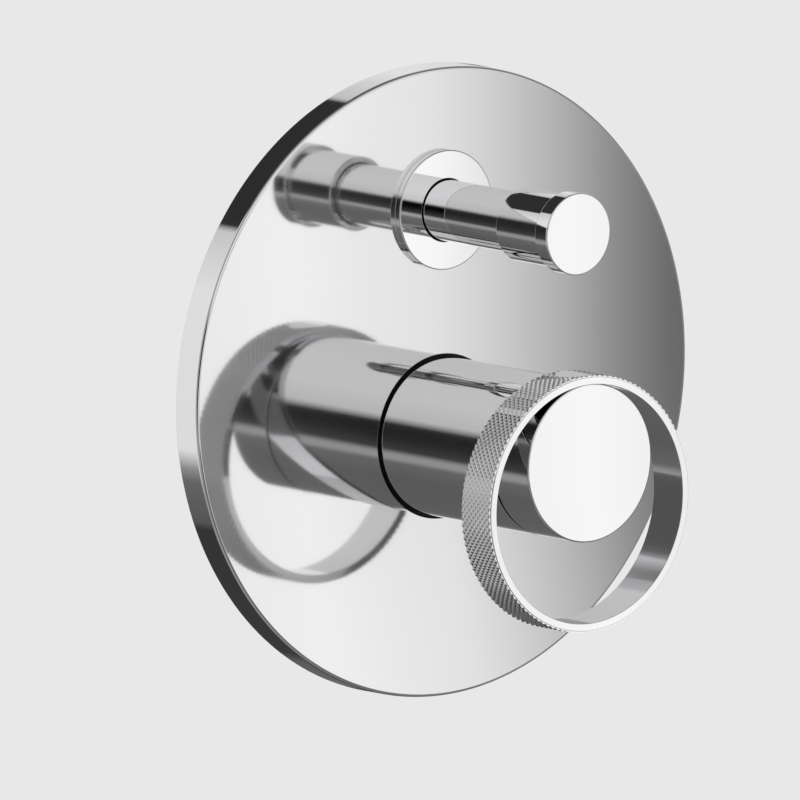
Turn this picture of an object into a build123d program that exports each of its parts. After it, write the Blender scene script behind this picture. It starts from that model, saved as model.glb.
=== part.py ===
from build123d import *
from math import copysign, cos, hypot, pi, radians, remainder, sin
import os

# Concealed bath and shower mixer. The origin is the centre of the round plate on the finished wall,
# X is to the right, Y goes into the wall and Z is up. What a user sees is at negative Y.
# Lengths are millimetres. A reach is measured outwards from the plate's front face.

# Plate
plate_diameter = 200.0
plate_depth = 10.3
plate_skin = 2.5
plate_rim = 2.0
plate_edge = 1.0
main_axis_z = -17.3
diverter_axis_z = 54.9
gasket_width = 5.0

# Mixer sleeve and handle
sleeve_diameter = 50.4
sleeve_wall = 1.8
sleeve_reach = 55.1
sleeve_end_wall = 2.0
hole_gap = 0.9
seam = 1.0
hub_length = 16.9
hub_edge = 0.5
hub_wall = 2.7
hub_boss_diameter = 31.0
hub_recess_depth = 9.0
ring_outer_diameter = 81.8
ring_wall = 2.9
ring_depth = 14.3
ring_edge = 0.15
ring_seat = 0.25
knurl_count = 118
knurl_rows = 13
knurl_depth = 0.45
knurl_margin = 0.25
lip_drop = 0.1
land_diameter = 12.8
land_sink = 0.1

# Diverter sleeve, rosette and knob
rosette_diameter = 38.0
rosette_thickness = 2.5
rosette_edge = 0.4
rosette_gap = 0.4
bonnet_hole_margin = 1.3
diverter_diameter = 19.4
diverter_wall = 2.0
knob_start = 40.8
knob_skirt_diameter = 23.5
knob_skirt_gap = 0.35
knob_body_length = 20.7
knob_cap_length = 6.0
knob_cap_diameter = 26.1
knob_edge = 0.4
knob_travel = 12.0
knob_overlap = 2.7
knob_spigot_diameter = 10.0
knob_spigot_length = 3.0
knob_rod_wall = 1.5

# Valve body in the wall
body_depth = 50.0
port_y = 18.0
port_diameter = 18.6
port_depth = 14.0
port_arm_diameter = 27.0
port_hexagon = 28.0
port_collar_length = 8.0
port_chamfer = 1.0
side_port_reach = 58.0
low_port_reach = 56.0
top_port_reach = 26.0
barrel_diameter = 52.0
barrel_front = 1.0
chamber_diameter = 35.2
chamber_floor = 6.0
neck_diameter = 45.2
neck_front = 40.0
neck_thread_diameter = 40.0
neck_ring_inset = 10.0
neck_ring_spacing = 15.0
channel_diameter = 7.0
inlet_channel_diameter = 10.0
inlet_turn_x = 12.0
inlet_rise_step = 4.0
riser_width = 24.0
riser_corner = 5.0
flange_size = 76.0
flange_thickness = 5.0
flange_corner = 8.0
fixing_spacing = 60.0
fixing_hole_diameter = 5.5

# Cartridge
cartridge_nut_length = 7.0
cartridge_nut_diameter = 38.0
cartridge_nut_bore = 24.0
nut_slot_width = 4.0
nut_slot_depth = 3.0
cartridge_wall = 2.5
cartridge_nose_diameter = 18.0
cartridge_nose_length = 5.0
base_thickness = 3.0
disc_thickness = 4.0
fixed_disc_diameter = 29.0
moving_disc_diameter = 26.0
disc_port_diameter = 6.0
disc_port_radius = 8.5
disc_port_angle = 30.0
disc_pocket_depth = 2.5
disc_pocket_radius = 11.5
port_seal_width = 1.0
port_seal_height = 1.0
driver_thickness = 4.0
driver_margin = 0.2
spindle_flange_diameter = 18.0
spindle_flange_thickness = 4.0
spindle_diameter = 12.0
spindle_bare_length = 3.5
spindle_square = 8.0
spindle_square_length = 8.5
spindle_tail_square = 6.0
spindle_tail_length = 2.5
locating_pin_diameter = 3.0
locating_pin_length = 3.0
locating_pin_x = 11.0

# Turning parts between cartridge and hub
extension_diameter = 14.0
extension_end_gap = 0.5
extension_flat_depth = 0.5
hub_socket_depth = 9.6
bush_wall = 2.0
bush_length = 7.5
bush_flange_diameter = 26.0
bush_flange_thickness = 0.7
extension_screw_diameter = 4.0
extension_screw_grip = 6.0
extension_screw_reach = 6.0
screw_head_ratio = 1.75
screw_hole_gap = 0.2
hexagon_key_ratio = 0.58
handle_grub_diameter = 5.0
handle_grub_length = 8.0
handle_grub_back = 4.6

# Diverter inside
diverter_chamber_diameter = 22.0
diverter_chamber_wall = 4.0
bonnet_thread_length = 5.0
bonnet_hex = 20.0
bonnet_hex_length = 4.0
bonnet_reach = 39.7
rod_ring_inset = 4.0
rod_diameter = 6.0
land_thickness = 4.0
land_stop_gap = 1.0
spool_core_diameter = 11.0
knob_grub_diameter = 3.0
knob_grub_length = 7.0

# Seals and clearances
sleeve_seal_width = 4.0
sleeve_seal_height = 2.8
neck_ring_section = 2.24
small_ring_section = 1.4
spool_ring_section = 1.9
groove_room = 0.4
running_gap = 0.05
push_gap = 0.05
face_gap = 0.05
free_gap = 0.3
turn_room = 0.3
sleeve_back_gap = 0.8

# How far a cutting shape runs past the surface it cuts
overshoot = 1.0

# Planes and radii that follow from the sizes above
plate_front = -plate_depth
plate_inner = plate_front + plate_skin
plate_radius = plate_diameter / 2
sleeve_radius = sleeve_diameter / 2
sleeve_front = plate_front - sleeve_reach
hub_back = sleeve_front - seam
hub_front = hub_back - hub_length
ring_radius = ring_outer_diameter / 2
ring_inner_radius = ring_radius - ring_wall
ring_axis_z = main_axis_z + sleeve_radius - ring_seat - ring_inner_radius
ring_back = hub_front + ring_depth
knurl_front = hub_front + knurl_margin
knurl_back = ring_back - knurl_margin
lip_radius = ring_radius - knurl_depth - lip_drop
diverter_radius = diverter_diameter / 2
knob_back = plate_front - knob_start
knob_joint = knob_back - knob_body_length
knob_front = knob_joint - knob_cap_length
diverter_front = knob_back - knob_travel - knob_overlap
knob_floor = diverter_front - 2 * turn_room
neck_radius = neck_diameter / 2
neck_end = -neck_front
neck_thread_radius = neck_thread_diameter / 2
casting_front = -barrel_front
chamber_radius = chamber_diameter / 2
chamber_end = chamber_floor
nut_back = neck_end + cartridge_nut_length
cartridge_radius = chamber_radius - 2 * push_gap
cavity_radius = cartridge_radius - cartridge_wall
base_front = chamber_end - base_thickness
fixed_disc_front = base_front - disc_thickness
moving_disc_back = fixed_disc_front - face_gap
moving_disc_front = moving_disc_back - disc_thickness
driver_front = moving_disc_front - face_gap - driver_thickness
flange_front = driver_front - spindle_flange_thickness
spindle_radius = spindle_diameter / 2
nose_front = nut_back - cartridge_nose_length
square_back = nose_front - spindle_bare_length
square_front = square_back - spindle_square_length
extension_back = square_back - extension_end_gap
extension_radius = extension_diameter / 2
extension_front = hub_back - hub_socket_depth
head_seat = square_front - extension_screw_grip
grub_y = hub_back - handle_grub_back
diverter_chamber_radius = diverter_chamber_diameter / 2
diverter_outer_radius = diverter_chamber_radius + diverter_chamber_wall
bonnet_back = casting_front + bonnet_thread_length
front_land_front = bonnet_back + land_stop_gap + knob_travel
back_land_front = front_land_front + 2 * knob_travel
spool_chamber_floor = back_land_front + land_thickness + land_stop_gap
shower_channel_y = front_land_front - (knob_travel - land_thickness) / 2
mixed_channel_y = (front_land_front + land_thickness + back_land_front - knob_travel) / 2
bath_channel_y = back_land_front - (knob_travel - land_thickness) / 2
bonnet_front = casting_front - bonnet_hex_length
rod_radius = rod_diameter / 2
rod_front = knob_joint + knob_rod_wall
knob_grub_y = (knob_floor + knob_joint) / 2


def turned(profile, axis_z):
    """Revolves a closed outline of (radius, y) points about the line along Y at height axis_z."""
    outline = make_face(Polyline(*profile, close=True))
    return Pos(0, 0, axis_z) * revolve(outline, axis=Axis.Y)


def tube(outer, inner, front, back, axis_z):
    """A straight tube along Y between two planes, or a full disc where the inner radius is nought."""
    return turned([(inner, front), (outer, front), (outer, back), (inner, back)], axis_z)


def bar(start, end, radius):
    """A round bar or drill from one point to another."""
    along = Vector(*end) - Vector(*start)
    return Solid.make_cylinder(radius, along.length, Plane(origin=start, z_dir=along))


def channel(points, radius):
    """A cored water way: round lengths between the points, with rounded turns."""
    way = bar(points[0], points[1], radius)
    for start, end in zip(points[1:], points[2:]):
        way += Pos(*start) * Sphere(radius)
        way += bar(start, end, radius)
    return way


def outwards(sketch, back, length, x=0.0, z=0.0):
    """Extrudes a front-view sketch from the plane y = back out towards the user."""
    return Pos(x, back, z) * Rot(90, 0, 0) * extrude(sketch, length)


def round_ring(radius, section, y, axis_z):
    """A rubber ring of round section about an axis along Y."""
    return Pos(0, y, axis_z) * Rot(90, 0, 0) * Torus(radius, section / 2)


def front_edge(solid):
    """The widest round edge that lies furthest to the front."""
    rims = solid.edges().filter_by(GeomType.CIRCLE).group_by(SortBy.RADIUS)[-1]
    return rims.sort_by(Axis.Y)[0]


def back_edge(solid):
    """The widest round edge that lies furthest to the back."""
    rims = solid.edges().filter_by(GeomType.CIRCLE).group_by(SortBy.RADIUS)[-1]
    return rims.sort_by(Axis.Y)[-1]


def backplate():
    """Round plate turned like a shallow dish, with a hole for each sleeve."""
    rim_radius = plate_radius - plate_rim
    plate = turned(
        [
            (0, plate_front),
            (plate_radius, plate_front),
            (plate_radius, 0),
            (rim_radius, 0),
            (rim_radius, plate_inner),
            (0, plate_inner),
        ],
        0,
    )
    plate = fillet(front_edge(plate), plate_edge)
    plate -= tube(sleeve_radius + hole_gap, 0, plate_front - overshoot, 0, main_axis_z)
    return plate - tube(rosette_hole_radius(), 0, plate_front - overshoot, 0, diverter_axis_z)


def rosette_hole_radius():
    """The plate's upper hole passes the bonnet's corners and is covered by the rosette."""
    return bonnet_hex / 2 / cos(radians(30)) + free_gap + bonnet_hole_margin


def wall_gasket():
    """Foam ring that fills the rim's inner corner down to the wall."""
    outer = plate_radius - plate_rim - push_gap
    return tube(outer, outer - gasket_width, plate_inner, 0, 0)


def sleeve_seal():
    """Rubber washer round the sleeve, pressed against the back of the plate."""
    inner = sleeve_radius + push_gap
    return tube(inner + sleeve_seal_width, inner, plate_inner, plate_inner + sleeve_seal_height, main_axis_z)


def mixer_sleeve():
    """Fixed tube over the valve's neck. Its closed end carries the bush."""
    inner = sleeve_radius - sleeve_wall
    return turned(
        [
            (bush_radius() + push_gap, sleeve_front),
            (sleeve_radius, sleeve_front),
            (sleeve_radius, casting_front - sleeve_back_gap),
            (inner, casting_front - sleeve_back_gap),
            (inner, sleeve_front + sleeve_end_wall),
            (bush_radius() + push_gap, sleeve_front + sleeve_end_wall),
        ],
        main_axis_z,
    )


def neck_ring_places():
    """Y of the two rubber rings on the neck."""
    first = neck_end + neck_ring_inset
    return [first, first + neck_ring_spacing]


def neck_ring_radius():
    """Middle radius of a neck ring that just reaches the sleeve's bore."""
    return sleeve_radius - sleeve_wall - neck_ring_section / 2 - push_gap / 2


def sleeve_orings():
    """Two rubber rings on the neck, which grip the sleeve."""
    rings = [round_ring(neck_ring_radius(), neck_ring_section, y, main_axis_z) for y in neck_ring_places()]
    return rings


def bush_radius():
    """Outer radius of the bush's barrel."""
    return extension_radius + running_gap + bush_wall


def handle_bush():
    """Flanged plastic bush in the sleeve's end, which the turning extension runs in."""
    bore = extension_radius + running_gap
    return turned(
        [
            (bore, sleeve_front - bush_flange_thickness),
            (bush_flange_diameter / 2, sleeve_front - bush_flange_thickness),
            (bush_flange_diameter / 2, sleeve_front),
            (bush_radius(), sleeve_front),
            (bush_radius(), sleeve_front + bush_length),
            (bore, sleeve_front + bush_length),
        ],
        main_axis_z,
    )


def handle_hub():
    """Round end piece that turns. A boss takes the extension, and the ring sits on a shallow seat."""
    recess_floor = hub_back - hub_recess_depth
    socket_floor = extension_front - extension_end_gap
    socket_radius = extension_radius + push_gap
    hub = turned(
        [
            (0, hub_front),
            (sleeve_radius, hub_front),
            (sleeve_radius, hub_back),
            (sleeve_radius - hub_wall, hub_back),
            (sleeve_radius - hub_wall, recess_floor),
            (hub_boss_diameter / 2, recess_floor),
            (hub_boss_diameter / 2, hub_back),
            (socket_radius, hub_back),
            (socket_radius, socket_floor),
            (0, socket_floor),
        ],
        main_axis_z,
    )
    hub = chamfer(front_edge(hub), hub_edge)
    seat_radius = ring_inner_radius - push_gap / 2
    hub -= tube(ring_radius, seat_radius, hub_front - overshoot, ring_back, ring_axis_z)
    return hub - bar(
        (0, grub_y, main_axis_z),
        (0, grub_y, main_axis_z - sleeve_radius - overshoot),
        handle_grub_diameter / 2,
    )


def knurl_corners():
    """Corners of the diamond knurl. i counts half diamonds round the ring from its top, j counts backwards.

    A corner is a diamond's point where i + j is odd, and lies in a groove where it is even.
    On the round land at the top every corner is level.
    """
    corners = {}
    middle = (knurl_front + knurl_back) / 2
    for i in range(2 * knurl_count):
        turn = pi * i / knurl_count
        arc = ring_radius * remainder(turn, 2 * pi)
        for j in range(knurl_rows + 1):
            y = knurl_front + (knurl_back - knurl_front) * j / knurl_rows
            radius = ring_radius if (i + j) % 2 else ring_radius - knurl_depth
            if hypot(arc, y - middle) < land_diameter / 2:
                radius = ring_radius - land_sink
            corners[i, j] = Vector(-radius * sin(turn), y, ring_axis_z + radius * cos(turn))
    return corners


def knurl_facets(corners):
    """Two triangles between each four corners, which meet in the groove that crosses them."""
    facets = []
    for i in range(2 * knurl_count):
        after = (i + 1) % (2 * knurl_count)
        for j in range(knurl_rows):
            first, beside = corners[i, j], corners[after, j]
            behind, across = corners[i, j + 1], corners[after, j + 1]
            if (i + j) % 2:
                halves = [(beside, behind, across), (beside, first, behind)]
            else:
                halves = [(first, across, beside), (first, behind, across)]
            facets += [Face(Wire.make_polygon(half, close=True)) for half in halves]
    return facets


def ring_lip(end, knurl_end):
    """Faces of the plain lip at one end of the ring, left open where the knurl begins."""
    shoulder = end + copysign(ring_edge, knurl_end - end)
    lip = turned(
        [
            (ring_inner_radius, shoulder),
            (ring_inner_radius + ring_edge, end),
            (lip_radius - ring_edge, end),
            (lip_radius, shoulder),
            (lip_radius, knurl_end),
            (ring_inner_radius, knurl_end),
        ],
        ring_axis_z,
    )
    round_faces = [face for face in lip.faces() if face.geom_type != GeomType.PLANE]
    flat_faces = lip.faces().filter_by(GeomType.PLANE).sort_by(lambda face: abs(face.center().Y - end))
    return round_faces + [flat_faces[0]]


def handle_ring():
    """Knurled ring grip that hangs round the hub and touches it inside, at the top."""
    corners = knurl_corners()
    core = tube(lip_radius, ring_inner_radius, knurl_front, knurl_back, ring_axis_z)
    bore = core.faces().filter_by(GeomType.CYLINDER).sort_by(SortBy.AREA)[0]
    core_ends = core.edges().filter_by(GeomType.CIRCLE).group_by(SortBy.RADIUS)[-1].sort_by(Axis.Y)
    skin = knurl_facets(corners) + [bore]
    skin += ring_lip(hub_front, knurl_front) + ring_lip(ring_back, knurl_back)
    for j, core_end in ((0, core_ends[0]), (knurl_rows, core_ends[-1])):
        outline = Wire.make_polygon([corners[i, j] for i in range(2 * knurl_count)], close=True)
        skin.append(Face(outline, [Wire([core_end])]))
    return Solid(Shell(skin))


def handle_grub_screw():
    """Socket set screw in the hub's boss. Its tip stands on the extension's flat."""
    tip = main_axis_z - extension_radius + extension_flat_depth - push_gap
    tail = tip - handle_grub_length
    radius = handle_grub_diameter / 2 - push_gap
    screw = bar((0, grub_y, tip), (0, grub_y, tail), radius)
    key = Pos(0, grub_y, tail) * extrude(RegularPolygon(radius * hexagon_key_ratio, 6), radius)
    return screw - key


def cartridge_nut():
    """Ring nut in the neck's mouth, with four slots for its key."""
    outer = cartridge_nut_diameter / 2 - push_gap
    nut = tube(outer, cartridge_nut_bore / 2, neck_end, nut_back - face_gap, main_axis_z)
    for turn in (0, 90):
        slot = Rectangle(nut_slot_width, cartridge_nut_diameter + 2 * overshoot)
        cut = outwards(slot, neck_end + nut_slot_depth, nut_slot_depth + overshoot)
        nut -= Pos(0, 0, main_axis_z) * Rot(0, turn, 0) * cut
    return nut


def cartridge_housing():
    """Plastic case of the cartridge, open at the back, with a nose that guides the spindle."""
    flange_room = spindle_flange_diameter / 2 + turn_room
    bore = spindle_radius + running_gap
    nose = cartridge_nose_diameter / 2
    return turned(
        [
            (cartridge_radius, nut_back),
            (cartridge_radius, chamber_end),
            (cavity_radius, chamber_end),
            (cavity_radius, driver_front - turn_room),
            (flange_room, driver_front - turn_room),
            (flange_room, flange_front - turn_room),
            (bore, flange_front - turn_room),
            (bore, nose_front),
            (nose, nose_front),
            (nose, nut_back),
        ],
        main_axis_z,
    )


def disc_ports():
    """Front-view x and z of the hot, cold and mixed ports, from the cartridge's axis."""
    across = disc_port_radius * sin(radians(disc_port_angle))
    up = disc_port_radius * cos(radians(disc_port_angle))
    return [(-across, up), (across, up), (0.0, 0.0)]


def port_drills(radius, front, back):
    """Three round holes along Y at the ports."""
    return [
        bar((x, front, main_axis_z + z), (x, back, main_axis_z + z), radius) for x, z in disc_ports()
    ]


def cartridge_base():
    """Plastic floor of the cartridge with three ports, seal seats and two locating pins."""
    radius = disc_port_diameter / 2
    base = tube(cavity_radius - push_gap, 0, base_front + face_gap, chamber_end - face_gap, main_axis_z)
    for side in (-1, 1):
        x = side * locating_pin_x
        base += bar(
            (x, chamber_end - overshoot, main_axis_z),
            (x, chamber_end + locating_pin_length, main_axis_z),
            locating_pin_diameter / 2,
        )
    for drill in port_drills(radius, base_front - overshoot, chamber_end + overshoot):
        base -= drill
    seat = radius + port_seal_width + push_gap
    for drill in port_drills(seat, chamber_end - port_seal_height, chamber_end + overshoot):
        base -= drill
    return base


def port_seals():
    """Three small rubber rings between the cartridge and the chamber's floor."""
    seals = []
    radius = disc_port_diameter / 2
    for x, z in disc_ports():
        seal = tube(
            radius + port_seal_width,
            radius,
            chamber_end - port_seal_height + face_gap,
            chamber_end - face_gap,
            main_axis_z + z,
        )
        seals.append(Pos(x, 0, 0) * seal)
    return seals


def fixed_disc():
    """Ceramic disc with the three ports."""
    disc = tube(fixed_disc_diameter / 2, 0, fixed_disc_front, base_front, main_axis_z)
    for drill in port_drills(disc_port_diameter / 2, fixed_disc_front - overshoot, base_front + overshoot):
        disc -= drill
    return disc


def moving_disc():
    """Ceramic disc with a blind pocket: a hub over the mixed port and a sector that sweeps the inlets."""
    disc = tube(moving_disc_diameter / 2, 0, moving_disc_front, moving_disc_back, main_axis_z)
    reach = disc_pocket_radius
    low = (reach * cos(radians(disc_port_angle)), -reach * sin(radians(disc_port_angle)))
    high = (low[0], -low[1])
    sector = make_face(
        [Line((0, 0), low), ThreePointArc(low, (reach, 0), high), Line(high, (0, 0))]
    )
    pocket = sector + Circle(disc_port_diameter / 2)
    return disc - outwards(pocket, moving_disc_back, disc_pocket_depth, z=main_axis_z)


def disc_driver():
    """Plastic plate that turns the moving disc and takes the spindle's square tail."""
    radius = moving_disc_diameter / 2 + driver_margin
    driver = tube(radius, 0, driver_front, moving_disc_front - face_gap, main_axis_z)
    tail = Rectangle(spindle_tail_square + 2 * push_gap, spindle_tail_square + 2 * push_gap)
    depth = spindle_tail_length + face_gap
    return driver - outwards(tail, driver_front + depth, depth + overshoot, z=main_axis_z)


def ring_groove(shaft_radius, ring_section, y, axis_z):
    """The annular groove that a rubber ring lies in on a shaft, cut down to the ring's bore."""
    half = ring_section / 2 + groove_room / 2
    floor = shaft_radius - ring_section - running_gap / 2
    return tube(shaft_radius + overshoot, floor, y - half, y + half, axis_z)


def spindle_ring_y():
    """Y of the rubber ring on the spindle, in the middle of the housing's bore."""
    return (flange_front + nose_front) / 2


def cartridge_spindle():
    """Brass spindle: square tail, flange, round shaft with a seal groove, and square drive end."""
    spindle = turned(
        [
            (0, square_back),
            (spindle_radius, square_back),
            (spindle_radius, flange_front),
            (spindle_flange_diameter / 2, flange_front),
            (spindle_flange_diameter / 2, driver_front - face_gap),
            (0, driver_front - face_gap),
        ],
        main_axis_z,
    )
    tail = Rectangle(spindle_tail_square, spindle_tail_square)
    tail_back = driver_front + spindle_tail_length
    spindle += outwards(tail, tail_back, spindle_tail_length + overshoot, z=main_axis_z)
    drive = Rectangle(spindle_square, spindle_square)
    spindle += outwards(drive, square_back, spindle_square_length, z=main_axis_z)
    spindle -= ring_groove(spindle_radius, small_ring_section, spindle_ring_y(), main_axis_z)
    tapped = square_front + extension_screw_reach + overshoot
    return spindle - tube(extension_screw_diameter / 2, 0, square_front - overshoot, tapped, main_axis_z)


def spindle_oring():
    """Rubber ring that seals the spindle in the housing's bore."""
    radius = spindle_radius - small_ring_section / 2
    return round_ring(radius, small_ring_section, spindle_ring_y(), main_axis_z)


def spindle_extension():
    """Brass bar from the cartridge's square to the hub, with a flat for the set screw."""
    bar_out = tube(extension_radius, 0, extension_front, extension_back, main_axis_z)
    socket = Rectangle(spindle_square + 2 * push_gap, spindle_square + 2 * push_gap)
    depth = extension_back - square_front + face_gap
    bar_out -= outwards(socket, extension_back, depth, z=main_axis_z)
    screw_hole = extension_screw_diameter / 2 + screw_hole_gap
    bar_out -= tube(screw_hole, 0, head_seat - overshoot, square_front + overshoot, main_axis_z)
    head_room = extension_screw_diameter * screw_head_ratio / 2 + free_gap
    bar_out -= tube(head_room, 0, extension_front - overshoot, head_seat, main_axis_z)
    flat = Rectangle(2 * extension_diameter, extension_diameter)
    flat_z = main_axis_z - extension_radius + extension_flat_depth - extension_radius
    return bar_out - outwards(flat, grub_y + handle_grub_diameter / 2, handle_grub_diameter, z=flat_z)


def extension_screw():
    """Cap screw that holds the extension on the cartridge's square."""
    radius = extension_screw_diameter / 2
    head_radius = radius * screw_head_ratio
    head_front = head_seat - face_gap - extension_screw_diameter
    screw = turned(
        [
            (0, head_front),
            (head_radius, head_front),
            (head_radius, head_seat - face_gap),
            (radius - push_gap, head_seat - face_gap),
            (radius - push_gap, square_front + extension_screw_reach),
            (0, square_front + extension_screw_reach),
        ],
        main_axis_z,
    )
    key_depth = extension_screw_diameter / 2
    key = RegularPolygon(head_radius / 2, 6)
    return screw - outwards(key, head_front + key_depth, key_depth + overshoot, z=main_axis_z)


def stepped(point, direction, distance):
    """The point moved along a direction."""
    return tuple(p + distance * d for p, d in zip(point, direction))


def port_arm(start, mouth, out):
    """A round arm of the casting with a hexagon at its mouth, its corners turned off."""
    arm = bar(start, mouth, port_arm_diameter / 2)
    collar_start = stepped(mouth, out, -port_collar_length)
    blank = bar(collar_start, mouth, port_hexagon / 2 / cos(radians(30)))
    blank = chamfer(blank.edges().filter_by(GeomType.CIRCLE), port_chamfer)
    across_flats = RegularPolygon(port_hexagon / 2, 6, major_radius=False)
    prism = extrude(Plane(origin=collar_start, z_dir=out) * across_flats, port_collar_length)
    return arm + (blank & prism)


def port_ends():
    """Mouth of each port and the unit step that leads out of it."""
    return {
        "hot_inlet": ((-side_port_reach, port_y, main_axis_z), (-1, 0, 0)),
        "cold_inlet": ((side_port_reach, port_y, main_axis_z), (1, 0, 0)),
        "bath_outlet": ((0, port_y, main_axis_z - low_port_reach), (0, 0, -1)),
        "shower_outlet": ((0, port_y, diverter_axis_z + top_port_reach), (0, 0, 1)),
    }


def valve_casting():
    """Outside of the brass casting: two barrels, the riser between them, port arms and flange."""
    centre = (0, port_y, main_axis_z)
    casting = tube(barrel_diameter / 2, 0, casting_front, body_depth, main_axis_z)
    diverter_back = spool_chamber_floor + diverter_chamber_wall
    casting += tube(diverter_outer_radius, 0, casting_front, diverter_back, diverter_axis_z)
    ports = port_ends()
    for name, (mouth, out) in ports.items():
        root = (0, port_y, diverter_axis_z) if name == "shower_outlet" else centre
        casting += port_arm(root, mouth, out)
    riser_height = diverter_axis_z - main_axis_z
    riser_top = body_depth - riser_width / 2
    low_end = main_axis_z - low_port_reach + port_depth
    riser = Rectangle(riser_width, body_depth - (port_y - riser_width / 2))
    riser_middle = (body_depth + port_y - riser_width / 2) / 2
    riser = fillet(riser.vertices(), riser_corner)
    casting += Pos(0, riser_middle, main_axis_z) * extrude(riser, riser_height)
    casting += bar((0, riser_top, low_end), (0, riser_top, main_axis_z), riser_width / 2)
    flange = RectangleRounded(flange_size, flange_size, flange_corner)
    casting += outwards(flange, body_depth, flange_thickness, z=main_axis_z)
    return casting


def water_ways():
    """Every cored way in the casting, from the port floors to the two chambers."""
    ports = port_ends()
    ways = []
    for side, name in ((-1, "hot_inlet"), (1, "cold_inlet")):
        mouth, out = ports[name]
        across, up = disc_ports()[0 if side < 0 else 1]
        turn = (side * inlet_turn_x, port_y, main_axis_z)
        rise = (across, port_y - inlet_rise_step, main_axis_z + up)
        port_floor = stepped(mouth, out, -port_depth + overshoot)
        chamber_port = (across, chamber_end - overshoot, main_axis_z + up)
        ways.append(bar(port_floor, turn, inlet_channel_diameter / 2))
        ways.append(channel([turn, rise, chamber_port], disc_port_diameter / 2))
    mixed_top = diverter_axis_z - diverter_chamber_radius + 2 * overshoot
    mixed = [
        (0, chamber_end - overshoot, main_axis_z),
        (0, mixed_channel_y, main_axis_z),
        (0, mixed_channel_y, mixed_top),
    ]
    ways.append(channel(mixed, channel_diameter / 2))
    low_mouth, low_out = ports["bath_outlet"]
    low_floor = stepped(low_mouth, low_out, -port_depth + overshoot)
    bath_turn = low_floor[2] + channel_diameter
    bath = [
        (0, bath_channel_y, mixed_top),
        (0, bath_channel_y, bath_turn),
        (0, port_y, bath_turn),
        low_floor,
    ]
    ways.append(channel(bath, channel_diameter / 2))
    top_mouth, top_out = ports["shower_outlet"]
    shower_end = stepped(top_mouth, top_out, -port_depth + overshoot)[2]
    shower_start = diverter_axis_z + diverter_chamber_radius - 2 * overshoot
    shower = [(0, shower_channel_y, shower_start), (0, shower_channel_y, shower_end)]
    ways.append(channel(shower, channel_diameter / 2))
    return ways


def cartridge_neck():
    """Brass tube screwed into the casting. It holds the cartridge, and two grooves hold rubber rings."""
    neck = turned(
        [
            (chamber_radius, chamber_end - face_gap),
            (neck_thread_radius - push_gap, chamber_end - face_gap),
            (neck_thread_radius - push_gap, casting_front - face_gap),
            (neck_radius, casting_front - face_gap),
            (neck_radius, neck_end),
            (cartridge_nut_diameter / 2, neck_end),
            (cartridge_nut_diameter / 2, nut_back),
            (chamber_radius, nut_back),
        ],
        main_axis_z,
    )
    for y in neck_ring_places():
        half = neck_ring_section / 2 + groove_room / 2
        floor = neck_ring_radius() - neck_ring_section / 2 - push_gap / 2
        neck -= tube(neck_radius + overshoot, floor, y - half, y + half, main_axis_z)
    return neck


def valve_body():
    """Brass casting with its ports, chambers, water ways, neck seat and fixing holes."""
    body = valve_casting()
    chamber_mouth = casting_front - overshoot
    body -= tube(neck_thread_radius, 0, chamber_mouth, chamber_end, main_axis_z)
    body -= tube(diverter_chamber_radius, 0, chamber_mouth, spool_chamber_floor, diverter_axis_z)
    for mouth, out in port_ends().values():
        body -= bar(stepped(mouth, out, 1), stepped(mouth, out, -port_depth), port_diameter / 2)
    for way in water_ways():
        body -= way
    for side in (-1, 1):
        x = side * locating_pin_x
        pin_hole = locating_pin_diameter / 2 + push_gap
        body -= bar(
            (x, chamber_end - overshoot, main_axis_z),
            (x, chamber_end + locating_pin_length + free_gap, main_axis_z),
            pin_hole,
        )
        for high in (-1, 1):
            x_hole = side * fixing_spacing / 2
            z_hole = main_axis_z + high * fixing_spacing / 2
            hole_end = (x_hole, body_depth + overshoot, z_hole)
            body -= bar((x_hole, 0, z_hole), hole_end, fixing_hole_diameter / 2)
    return body


def diverter_rosette():
    """Flat round flange on the plate round the diverter's sleeve."""
    inner = diverter_radius + rosette_gap
    front = plate_front - rosette_thickness
    rosette = tube(rosette_diameter / 2, inner, front, plate_front, diverter_axis_z)
    return fillet(front_edge(rosette), rosette_edge)


def rosette_seal():
    """Rubber ring in the plate's upper hole, behind the rosette."""
    outer = rosette_hole_radius() - push_gap
    return tube(outer, diverter_radius + push_gap, plate_front, plate_inner, diverter_axis_z)


def diverter_sleeve():
    """Slim fixed tube over the bonnet, which the knob slides on."""
    inner = diverter_radius - diverter_wall
    sleeve = tube(diverter_radius, inner, diverter_front, bonnet_front, diverter_axis_z)
    return chamfer(front_edge(sleeve), knob_edge)


def rod_ring_y():
    """Y of the rubber ring in the bonnet's nose."""
    return plate_front - bonnet_reach + rod_ring_inset


def diverter_bonnet():
    """Brass plug of the diverter chamber: thread, hexagon and a long nose that guides the rod."""
    nose = diverter_radius - diverter_wall - push_gap
    thread = diverter_chamber_radius - push_gap
    guide_front = plate_front - bonnet_reach
    guide_bore = rod_radius + running_gap
    bonnet = tube(thread, 0, casting_front, bonnet_back, diverter_axis_z)
    hexagon = RegularPolygon(bonnet_hex / 2, 6, major_radius=False)
    bonnet += outwards(hexagon, casting_front, bonnet_hex_length, z=diverter_axis_z)
    bonnet += tube(nose, 0, guide_front, casting_front, diverter_axis_z)
    bonnet -= tube(guide_bore, 0, guide_front - overshoot, bonnet_back + overshoot, diverter_axis_z)
    seat = guide_bore + small_ring_section + running_gap / 2
    half = small_ring_section / 2 + groove_room / 2
    bonnet -= tube(seat, 0, rod_ring_y() - half, rod_ring_y() + half, diverter_axis_z)
    return bonnet - ring_groove(thread, small_ring_section, bonnet_ring_y(), diverter_axis_z)


def bonnet_ring_y():
    """Y of the rubber ring on the bonnet's thread end."""
    return bonnet_back - small_ring_section


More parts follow.
